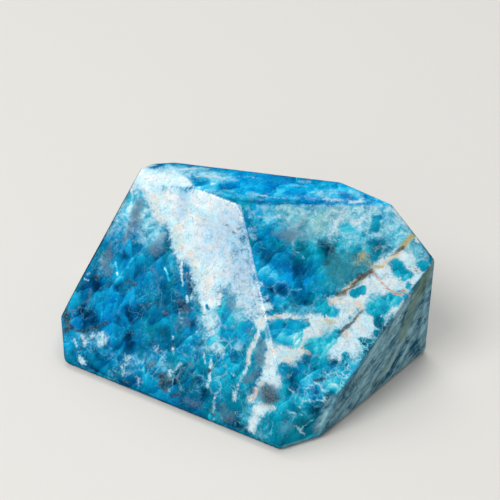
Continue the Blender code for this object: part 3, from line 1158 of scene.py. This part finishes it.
def crystals(tree, place, scale, softness):
    """Two numbers from 0 to 1 for each crystal of a mosaic, and a third that runs from side to side in it."""
    inputs = {"Vector": place, "Scale": scale, "Smoothness": softness}
    cell = put(tree, "ShaderNodeTexVoronoi", inputs, feature="SMOOTH_F1")
    numbers = put(tree, "ShaderNodeSeparateColor", {0: cell.outputs["Color"]})
    away = put(tree, "ShaderNodeVectorMath", {0: place, 1: cell.outputs["Position"]}, operation="SUBTRACT")
    lean = put(tree, "ShaderNodeVectorMath", {0: away.outputs[0], 1: CRYSTAL_LEAN}, operation="DOT_PRODUCT")
    side = maths(tree, "MULTIPLY_ADD", lean.outputs["Value"], scale, 0.5)
    return numbers.outputs[0], numbers.outputs[1], side


def threads(tree, place, scale, width):
    """Thin winding lines: 1 on a line, 0 beside it."""
    away = maths(tree, "ABSOLUTE", maths(tree, "SUBTRACT", grain(tree, place, scale, 2.5, 0.5), 0.5))
    return rise(tree, away, 0.0, width, 1.0, 0.0)


def foam(tree, place, scale):
    """A mosaic of straight-sided cells: how near the seams are, 1 in a seam, and a number for each cell."""
    inputs = {"Vector": place, "Scale": scale}
    gap = put(tree, "ShaderNodeTexVoronoi", inputs, feature="DISTANCE_TO_EDGE").outputs["Distance"]
    gap = shift(tree, gap, grain(tree, place, 0.7 * scale), -0.25)
    cell = put(tree, "ShaderNodeTexVoronoi", inputs).outputs["Color"]
    return rise(tree, gap, -0.02, 0.045, 1.0, 0.0), put(tree, "ShaderNodeSeparateColor", {0: cell}).outputs[0]


def layer(tree, name):
    return put(tree, "ShaderNodeAttribute", attribute_name=name).outputs["Fac"]


def moved(tree, place, scale, reach):
    """The place pushed about by a noise, by up to about this many millimetres."""
    push = put(tree, "ShaderNodeTexNoise", {"Vector": place, "Scale": scale, "Detail": 2.0}).outputs["Color"]
    push = put(tree, "ShaderNodeVectorMath", {0: push, 1: (0.5, 0.5, 0.5)}, operation="SUBTRACT").outputs[0]
    push = put(tree, "ShaderNodeVectorMath", {0: push, "Scale": 2 * reach}, operation="SCALE").outputs[0]
    return put(tree, "ShaderNodeVectorMath", {0: place, 1: push}, operation="ADD").outputs[0]


def offset(tree, place, distance):
    return put(tree, "ShaderNodeVectorMath", {0: place, 1: (distance,) * 3}, operation="ADD").outputs[0]


def stretched(tree, place, turn, factors):
    """The place turned and then scaled, so that a pattern gets longer along the axes of small factors."""
    turned = put(tree, "ShaderNodeMapping", {"Vector": place, "Rotation": turn}, vector_type="POINT").outputs[0]
    return put(tree, "ShaderNodeMapping", {"Vector": turned, "Scale": factors}, vector_type="POINT").outputs[0]


def rgb(red, green, blue):
    """A colour given as it looks on screen, from 0 to 255, as the shader wants it."""
    values = []
    for value in (red, green, blue):
        share = value / 255
        values.append(share / 12.92 if share <= 0.04045 else ((share + 0.055) / 1.055) ** 2.4)
    return (*values, 1.0)


COBALT = [
    (0.00, (0, 50, 98)),
    (0.15, (0, 76, 134)),
    (0.30, (0, 102, 165)),
    (0.45, (0, 126, 192)),
    (0.58, (3, 147, 208)),
    (0.70, (12, 170, 222)),
    (0.82, (60, 197, 236)),
    (0.92, (142, 220, 243)),
    (1.00, (222, 244, 249)),
]

AZURE = [
    (0.00, (0, 42, 74)),
    (0.15, (0, 65, 104)),
    (0.30, (0, 88, 131)),
    (0.45, (1, 112, 158)),
    (0.58, (4, 136, 183)),
    (0.70, (14, 160, 206)),
    (0.82, (66, 190, 222)),
    (0.92, (146, 218, 236)),
    (1.00, (222, 244, 248)),
]

CYAN = [
    (0.00, (0, 48, 70)),
    (0.15, (0, 72, 97)),
    (0.30, (0, 98, 125)),
    (0.45, (1, 124, 151)),
    (0.58, (6, 148, 177)),
    (0.70, (24, 172, 198)),
    (0.82, (82, 199, 215)),
    (0.92, (158, 222, 228)),
    (1.00, (228, 246, 246)),
]

CLOUD = [
    (0.00, (110, 168, 198)),
    (0.30, (160, 202, 220)),
    (0.55, (198, 224, 234)),
    (0.80, (222, 238, 243)),
    (1.00, (240, 247, 247)),
]


def ramp(tree, value, stops):
    node = put(tree, "ShaderNodeValToRGB", {0: value})
    elements = node.color_ramp.elements
    while len(elements) < len(stops):
        elements.new(0.5)
    for element, (place, colour) in zip(elements, stops):
        element.position = place
        element.color = rgb(*colour)
    return node.outputs[0]


# Veins that cross the sides that the photograph doesn't show: the direction that each one's plane looks in,
# its distance from the origin, and its half-width.
HIDDEN_VEINS = [
    ((0.74, 0.35, 0.57), 27.5, 0.55),
    ((0.55, -0.60, 0.58), 4.0, 0.35),
    ((-0.80, 0.30, 0.52), 18.0, 0.45),
    ((-0.35, 0.75, 0.56), 9.0, 0.35),
    ((0.20, 0.95, -0.25), 19.5, 0.35),
]


def vein_share(tree, place, normal, distance, half_width):
    """1 in the middle of a vein, 0 beside it."""
    along = put(tree, "ShaderNodeVectorMath", {0: place, 1: normal}, operation="DOT_PRODUCT").outputs["Value"]
    away = maths(tree, "ABSOLUTE", maths(tree, "SUBTRACT", along, distance))
    return rise(tree, away, 0.0, 2 * half_width, 1.0, 0.0)


CRYSTAL_LEAN = (-0.5, -0.3, 0.8)
SHARD_TURN = (0.5, -0.45, 0.3)
SHARD_FACTORS = (1.2, 1.0, 0.6)
STREAK_TURN = (-0.75, 0.1, 0.0)
STREAK_FACTORS = (1.0, 1.0, 0.35)
WALL_TURN = (0.94, -0.62, 0.0)
WALL_FACTORS = (1.0, 1.0, 0.36)


def apatite_colour(tree):
    place = put(tree, "ShaderNodeTexCoord").outputs["Object"]
    place = put(tree, "ShaderNodeVectorMath", {0: place, "Scale": 1 / MM}, operation="SCALE").outputs[0]
    bent = moved(tree, moved(tree, place, 0.28, 1.4), 1.1, 0.4)
    nudged = moved(tree, place, 0.4, 0.5)
    shards = stretched(tree, nudged, SHARD_TURN, SHARD_FACTORS)
    fine = grain(tree, place, 2.2, 3.0, 0.6)
    crumbs = grain(tree, offset(tree, place, 31.0), 3.0, 3.0, 0.65)
    clouds = grain(tree, bent, 0.25, 4.0, 0.6)
    number, hue, side = crystals(tree, shards, 0.30, 0.12)
    small_number, small_hue, small_side = crystals(tree, shards, 0.8, 0.15)
    streaks = grain(tree, stretched(tree, bent, STREAK_TURN, STREAK_FACTORS), 0.85, 4.0, 0.62)
    hidden = layer(tree, "hidden")
    patches = grain(tree, bent, 0.075, 4.0, 0.6)

    # Darker along the foot, where the strokes paint a contact shadow.
    tone_and_shade = maths(tree, "ADD", layer(tree, "tone_and_shade"), 0.43)
    tone_and_shade = shift(tree, tone_and_shade, clouds, 0.40)
    tone_and_shade = shift(tree, shift(tree, tone_and_shade, number, 0.18), side, 0.17)
    tone_and_shade = shift(tree, shift(tree, tone_and_shade, small_number, 0.14), small_side, 0.11)
    tone_and_shade = shift(tree, tone_and_shade, fine, 0.22)
    wide_seams, wide_number = foam(tree, nudged, 0.42)
    small_seams, small_cell = foam(tree, offset(tree, nudged, 17.0), 0.95)
    cells = shift(tree, shift(tree, 0.0, wide_number, 0.22), small_cell, 0.22)
    tone_and_shade = maths(tree, "MULTIPLY_ADD", cells, layer(tree, "net"), tone_and_shade)
    hue = shift(tree, maths(tree, "ADD", layer(tree, "hue"), 0.62), hue, 0.4)
    hue = shift(tree, shift(tree, hue, small_hue, 0.3), grain(tree, place, 0.12), 0.9)
    colour = blend(tree, rise(tree, hue, 0.0, 0.5), ramp(tree, tone_and_shade, COBALT), ramp(tree, tone_and_shade, AZURE))
    colour = blend(tree, rise(tree, hue, 0.5, 1.0), colour, ramp(tree, tone_and_shade, CYAN))
    colour = blend(tree, maths(tree, "MULTIPLY", layer(tree, "teal"), 0.6), colour, rgb(8, 92, 112))

    pool = shift(tree, shift(tree, layer(tree, "pool"), small_number, 0.4), fine, 1.1)
    pool = shift(tree, pool, clouds, 0.5)
    clear = rise(tree, pool, 0.16, 0.72, 1.0, 0.0)
    # The pale veil: partly milky mineral, partly painted reflection and painted sheen along rounded edges.
    haze_and_sheen = shift(tree, shift(tree, layer(tree, "haze_and_sheen"), streaks, 1.1), clouds, 1.1)
    haze_and_sheen = shift(tree, haze_and_sheen, fine, 0.5)
    haze_and_sheen = maths(tree, "MULTIPLY", rise(tree, haze_and_sheen, 0.1, 1.2), rise(tree, layer(tree, "haze_and_sheen"), 0.0, 0.12))
    haze_and_sheen = maths(tree, "MULTIPLY", haze_and_sheen, clear)
    moss = rise(tree, shift(tree, layer(tree, "moss"), clouds, 1.2), 0.0, 1.2)
    mist_and_sheen = blend(tree, rise(tree, streaks, 0.35, 0.65), rgb(78, 184, 214), rgb(176, 224, 234))
    mist_and_sheen = blend(tree, moss, mist_and_sheen, rgb(142, 192, 184))
    colour = blend(tree, maths(tree, "MULTIPLY", moss, 0.35), colour, rgb(84, 140, 138))
    fibres = threads(tree, offset(tree, nudged, 61.0), 0.75, 0.028)
    mist_and_sheen = blend(tree, maths(tree, "MULTIPLY", fibres, 0.65), mist_and_sheen, rgb(206, 236, 240))
    colour = blend(tree, haze_and_sheen, colour, mist_and_sheen)
    rim = maths(tree, "MULTIPLY", rise(tree, pool, 0.05, 0.35), clear)
    rim = maths(tree, "MULTIPLY", rim, rise(tree, layer(tree, "pool"), 0.0, 0.15))
    rim = maths(tree, "MULTIPLY", rim, rise(tree, streaks, 0.40, 0.65, 0.0, 0.35))
    colour = blend(tree, rim, colour, rgb(176, 226, 234))

    pale = maths(tree, "MULTIPLY", threads(tree, bent, 0.33, 0.016), rise(tree, patches, 0.45, 0.6))
    there = rise(tree, clouds, 0.46, 0.62)
    paler = maths(tree, "MULTIPLY", threads(tree, offset(tree, bent, 9.0), 0.7, 0.02), there)
    there = rise(tree, clouds, 0.55, 0.42)
    dark = maths(tree, "MULTIPLY", threads(tree, offset(tree, bent, 23.0), 0.4, 0.014), there)
    colour = blend(tree, maths(tree, "MULTIPLY", dark, 0.45), colour, rgb(10, 62, 96))
    colour = blend(tree, maths(tree, "MULTIPLY", pale, 0.25), colour, rgb(140, 210, 228))
    colour = blend(tree, maths(tree, "MULTIPLY", paler, 0.20), colour, rgb(96, 196, 224))
    netted = layer(tree, "net")
    small_seams = maths(tree, "MULTIPLY", small_seams, rise(tree, netted, 0.45, 0.75))
    net = maths(tree, "MAXIMUM", maths(tree, "MULTIPLY", wide_seams, 0.8), small_seams)
    net = maths(tree, "MULTIPLY", net, rise(tree, shift(tree, netted, clouds, 1.2), 0.2, 0.9))
    colour = blend(tree, net, colour, rgb(166, 220, 230))
    seam = rise(tree, shift(tree, layer(tree, "seam"), fine, 1.1), 0.08, 0.75)
    seam = maths(tree, "MULTIPLY", seam, rise(tree, layer(tree, "seam"), 0.0, 0.2, 0.0, 0.85))
    colour = blend(tree, seam, colour, rgb(166, 220, 230))

    # White mineral, with painted highlights along the top arris.
    milk_and_glints = maths(tree, "MULTIPLY", rise(tree, patches, 0.50, 0.68), hidden)
    milk_and_glints = maths(tree, "MAXIMUM", layer(tree, "milk_and_glints"), milk_and_glints)
    cover = shift(tree, shift(tree, shift(tree, milk_and_glints, fine, 1.0), streaks, 0.9), crumbs, 0.6)
    cover = rise(tree, cover, 0.12, 0.72)
    cover = maths(tree, "MULTIPLY", cover, rise(tree, milk_and_glints, 0.0, 0.2))
    cover = maths(tree, "MULTIPLY", cover, clear)
    white = shift(tree, shift(tree, maths(tree, "MULTIPLY", milk_and_glints, 0.72), streaks, 1.1), fine, 0.6)
    white = ramp(tree, white, CLOUD)
    tints = grain(tree, offset(tree, bent, 41.0), 0.45, 3.0, 0.6)
    white = blend(tree, rise(tree, tints, 0.40, 0.62), white, (1.0, 0.92, 0.88, 1.0), "MULTIPLY")
    white = blend(tree, rise(tree, tints, 0.55, 0.38), white, (0.78, 0.95, 0.98, 1.0), "MULTIPLY")
    # Lavender: mostly a painted reflection of the soft light.
    white = blend(tree, layer(tree, "lilac_and_reflection"), white, (0.62, 0.72, 0.88, 1.0), "MULTIPLY")
    warm = rise(tree, shift(tree, layer(tree, "cream"), streaks, 1.5), 0.3, 1.2)
    white = blend(tree, warm, white, (1.0, 0.86, 0.76, 1.0), "MULTIPLY")
    speck = rise(tree, grain(tree, offset(tree, place, 5.0), 2.0, 3.0, 0.7), 0.61, 0.73, 0.0, 0.58)
    white = blend(tree, speck, white, rgb(104, 136, 158))
    thread = maths(tree, "MULTIPLY", threads(tree, offset(tree, bent, 51.0), 0.8, 0.03), 0.5)
    white = blend(tree, thread, white, rgb(124, 156, 180))
    colour = blend(tree, cover, colour, white)

    # The right wall: its own streaked grey-green stone, with a painted reflection of the pale floor in its
    # grey.
    slate_and_floor_reflection = layer(tree, "slate_and_floor_reflection")
    along = stretched(tree, nudged, WALL_TURN, WALL_FACTORS)
    slope = shift(tree, grain(tree, along, 1.9, 3.0, 0.6), grain(tree, along, 0.55, 3.0, 0.55), 1.0)
    slope = maths(tree, "ADD", rise(tree, slope, 0.15, 0.85), layer(tree, "tone_and_shade"))
    grey = blend(tree, slope, rgb(30, 90, 118), rgb(164, 210, 220))
    grey = blend(tree, maths(tree, "MULTIPLY", moss, 0.7), grey, rgb(122, 142, 110))
    colour = blend(tree, maths(tree, "MULTIPLY", slate_and_floor_reflection, 0.92), colour, grey)

    dusk = maths(tree, "MULTIPLY", rise(tree, patches, 0.36, 0.46, 0.6, 0.0), hidden)
    smoke = maths(tree, "MAXIMUM", layer(tree, "smoke"), dusk)
    smoke = rise(tree, shift(tree, shift(tree, smoke, fine, 0.9), clouds, 0.9), 0.10, 1.0)
    colour = blend(tree, smoke, colour, rgb(94, 118, 138))

    beige = rise(tree, shift(tree, shift(tree, layer(tree, "beige"), fine, 1.0), crumbs, 0.8), 0.15, 0.9)
    colour = blend(tree, beige, colour, blend(tree, crumbs, rgb(172, 152, 128), rgb(238, 232, 212)))
    gold = rise(tree, shift(tree, shift(tree, layer(tree, "gold"), crumbs, 1.2), fine, 0.6), 0.25, 0.9)
    colour = blend(tree, gold, colour, blend(tree, crumbs, rgb(112, 112, 66), rgb(206, 194, 138)))

    veins = None
    for normal, distance, half_width in HIDDEN_VEINS:
        share = vein_share(tree, bent, normal, distance, half_width)
        veins = share if veins is None else maths(tree, "MAXIMUM", veins, share)
    veins = maths(tree, "MULTIPLY", maths(tree, "MULTIPLY", veins, hidden), rise(tree, patches, 0.40, 0.5))
    veined = rise(tree, shift(tree, shift(tree, veins, fine, 1.2), streaks, 1.4), 0.25, 0.8)
    veined = maths(tree, "MULTIPLY", veined, rise(tree, veins, 0.0, 0.3))
    colour = blend(tree, veined, colour, rgb(214, 218, 210))
    stained = maths(tree, "MULTIPLY", rise(tree, veins, 0.6, 1.0), rise(tree, clouds, 0.50, 0.62))
    rust = maths(tree, "MAXIMUM", layer(tree, "rust"), stained)
    stain = rise(tree, shift(tree, rust, fine, 0.6), 0.0, 0.8, 0.0, 0.7)
    stain = maths(tree, "MULTIPLY", stain, rise(tree, rust, 0.02, 0.25))
    colour = blend(tree, stain, colour, rgb(226, 200, 180))
    rust = rise(tree, shift(tree, rust, crumbs, 0.9), 0.40, 0.95)
    colour = blend(tree, rust, colour, rgb(176, 114, 86))
    umber = shift(tree, shift(tree, layer(tree, "umber"), crumbs, 1.3), fine, 0.9)
    umber = maths(tree, "MULTIPLY", rise(tree, umber, 0.12, 0.80, 0.0, 0.88), rise(tree, layer(tree, "umber"), 0.1, 0.4))
    dirt = blend(tree, rise(tree, fine, 0.42, 0.66), rgb(22, 38, 46), rgb(82, 96, 101))
    return blend(tree, umber, colour, dirt)


def apatite_material():
    material = bpy.data.materials.new("blue_apatite")
    material.use_nodes = True
    tree = material.node_tree
    shader = tree.nodes["Principled BSDF"]
    tree.links.new(apatite_colour(tree), shader.inputs["Base Color"])
    shader.inputs["Roughness"].default_value = 0.11
    shader.inputs["IOR"].default_value = 1.6
    shader.inputs["Specular IOR Level"].default_value = 0.28
    return material


def floor_material():
    material = bpy.data.materials.new("pale_floor")
    material.use_nodes = True
    shader = material.node_tree.nodes["Principled BSDF"]
    shader.inputs["Base Color"].default_value = rgb(212, 210, 205)
    shader.inputs["Roughness"].default_value = 0.7
    shader.inputs["Specular IOR Level"].default_value = 0.2
    return material


# The stone

surface = solid_tree("apatite")
shape = stone_mesh(surface)
waves = wave_surface(shape)
for v in shape.verts:
    v.co *= MM
mesh = bpy.data.meshes.new("apatite_stone")
shape.to_mesh(mesh)
shape.free()
mesh.shade_smooth()
paint(mesh, surface)
mesh.normals_split_custom_set_from_vertices(even_normals(mesh, waves, flat_faces("apatite")))
mesh.materials.append(apatite_material())
stone = bpy.data.objects.new("apatite_stone", mesh)
bpy.context.scene.collection.objects.link(stone)
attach(stone, "root")
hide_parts("apatite")
print("triangles", sum(len(p.vertices) - 2 for p in mesh.polygons), "points", len(mesh.vertices))

# The stage

bpy.ops.mesh.primitive_plane_add(size=3.0)
floor = bpy.context.object
floor.name = "floor"
floor.data.materials.append(floor_material())
# The floor shows in no reflection; its reflection on the right wall is painted into the wall's grey instead.
floor.visible_glossy = False


def softbox(name, place, size, power, colour=(1, 1, 1), glossy=False):
    """A round soft light that looks at the stone. Only a glossy one shows as a reflection."""
    data = bpy.data.lights.new(name, "AREA")
    data.shape = "DISK"
    data.size = size
    data.energy = power
    data.color = colour
    light = bpy.data.objects.new(name, data)
    bpy.context.scene.collection.objects.link(light)
    light.location = place
    light.rotation_euler = (-Vector(place)).to_track_quat("-Z", "Y").to_euler()
    light.visible_glossy = glossy
    return light


# The key stands where the upper right part of the left face mirrors it towards the camera.
softbox("key", (-0.52, -0.34, 0.87), 0.6, 6.7, colour=(1.0, 0.98, 0.97), glossy=True)
softbox("back", (0.0, 0.55, 0.9), 0.8, 5.2)
softbox("fill", (-0.25, -0.85, 0.65), 0.9, 2.9)

world = bpy.data.worlds.new("studio")
world.use_nodes = True
world.node_tree.nodes["Background"].inputs["Color"].default_value = (0.95, 0.97, 1.0, 1.0)
world.node_tree.nodes["Background"].inputs["Strength"].default_value = 0.33
world.cycles_visibility.glossy = False
bpy.context.scene.world = world
bpy.context.scene.view_settings.view_transform = "Standard"

camera_data = bpy.data.cameras.new("camera")
camera_data.sensor_width = SENSOR_WIDTH
camera_data.lens = SENSOR_WIDTH * FOCAL_PIXELS / PHOTO_PIXELS
camera = bpy.data.objects.new("camera", camera_data)
bpy.context.scene.collection.objects.link(camera)
camera.location = CAMERA_PLACE * MM
camera.rotation_euler = VIEW.to_track_quat("-Z", "Y").to_euler()
bpy.context.scene.camera = camera
